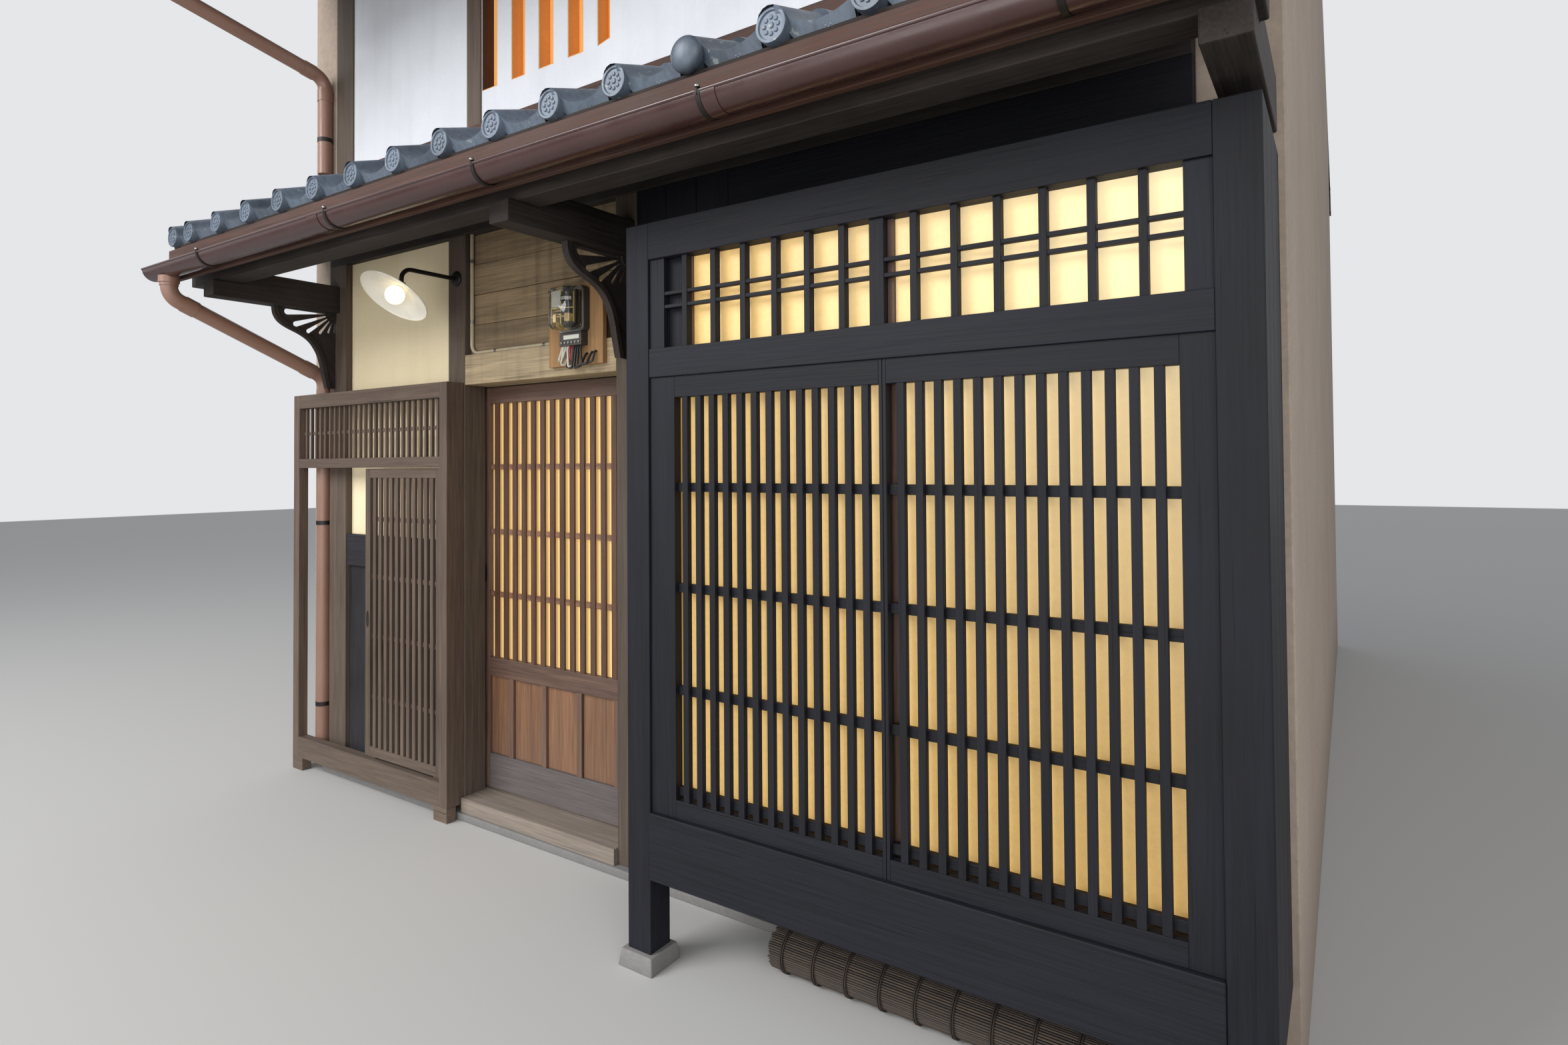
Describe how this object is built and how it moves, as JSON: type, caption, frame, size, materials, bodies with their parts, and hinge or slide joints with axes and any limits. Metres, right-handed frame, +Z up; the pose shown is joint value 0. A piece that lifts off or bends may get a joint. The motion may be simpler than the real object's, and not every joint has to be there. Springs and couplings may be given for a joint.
{
  "type": "machiya townhouse",
  "caption": "Narrow two-storey timber townhouse of a row: projecting lattice bay, sliding lattice door, lattice screen, tiled pent roof, barred plaster windows above, plain party walls.",
  "frame": {"origin": "middle of the plan between the party walls, the front posts and the rear wall, at street level under the ground floor", "axes": "+X to the right along the street front as seen from the street, +Y into the house, +Z up"},
  "size_m": [4.265, 7.84, 5.748],
  "materials": {
    "granite": "rough dressed stone",
    "floor_earth": "matt pressed earth and lime",
    "floor_boards": "planed boards",
    "plaster_white": "fine lime plaster",
    "plaster_cream": "fine lime plaster",
    "plaster_rough": "rough sandy plaster",
    "timber_dark": "old stained timber",
    "timber_weathered": "grey weathered timber",
    "timber_pale": "pale worn timber",
    "timber_door": "reddish stained timber",
    "frosted_glass": "frosted, lit from inside",
    "clay_tile": "smoked clay tile",
    "gutter_metal": "painted red-brown",
    "pipe_plastic": "brown rain pipe",
    "iron_dark": "dark lacquered",
    "lamp_enamel": "white enamel",
    "lamp_glow": "lit bulb",
    "meter_case": "worn casing",
    "conduit_grey": "cream conduit",
    "reed": "split reed"
  },
  "bodies": {
    "house": {"foundation": "granite", "ground_floor": "floor_earth", "upper_floor": "floor_boards", "left_party_wall": "plaster_rough", "right_party_wall": "plaster_rough", "rear_wall": "plaster_white", "rear_lattices": "timber_dark", "front_posts": "timber_weathered", "head_beam": "timber_dark", "plaster_panel": "plaster_cream", "wainscot": "timber_dark", "entrance_sill": "timber_weathered", "entrance_lintel": "timber_pale", "over_door_wall": "timber_weathered", "meter_board": "timber_pale", "meter": "meter_case", "conduit": "conduit_grey", "screen_frame": "timber_weathered", "bay_posts": "timber_dark", "bay_sill_board": "timber_dark", "bay_rails": "timber_dark", "bay_lattice_left": "timber_dark", "bay_lattice_right": "timber_dark", "bay_transom": "timber_dark", "bay_sashes": "timber_door", "bay_sides": "timber_dark", "bay_boards": "timber_dark", "side_wall": "timber_dark", "bay_back_wall": "timber_dark", "rolled_blind": "reed", "eaves_beam": "timber_dark", "eaves_arms": "timber_weathered", "fan_brackets": "timber_weathered", "rafters": "timber_dark", "rear_rafters": "timber_dark", "pent_roof": "clay_tile", "main_roof_front": "clay_tile", "main_roof_rear": "clay_tile", "roof_ridge": "clay_tile", "fascias": "timber_dark", "foot_board": "timber_door", "gutters": "gutter_metal", "downpipes": "pipe_plastic", "upper_front_wall": "plaster_white", "window_glass": "frosted_glass", "lamp_arm": "iron_dark", "lamp_shade": "lamp_enamel", "lamp_bulb": "lamp_glow"},
    "entrance_door": {"entrance_door": "timber_door", "door_glass": "frosted_glass"},
    "screen_panel": {"screen_panel": "timber_weathered"}
  },
  "joints": [
    {"name": "entrance_door_slide", "type": "slide", "parent": "house", "child": "entrance_door", "axis": [-1, 0, 0], "range_m": [0, 0.86]},
    {"name": "screen_panel_slide", "type": "slide", "parent": "house", "child": "screen_panel", "axis": [-1, 0, 0], "range_m": [0, 0.52]}
  ]
}
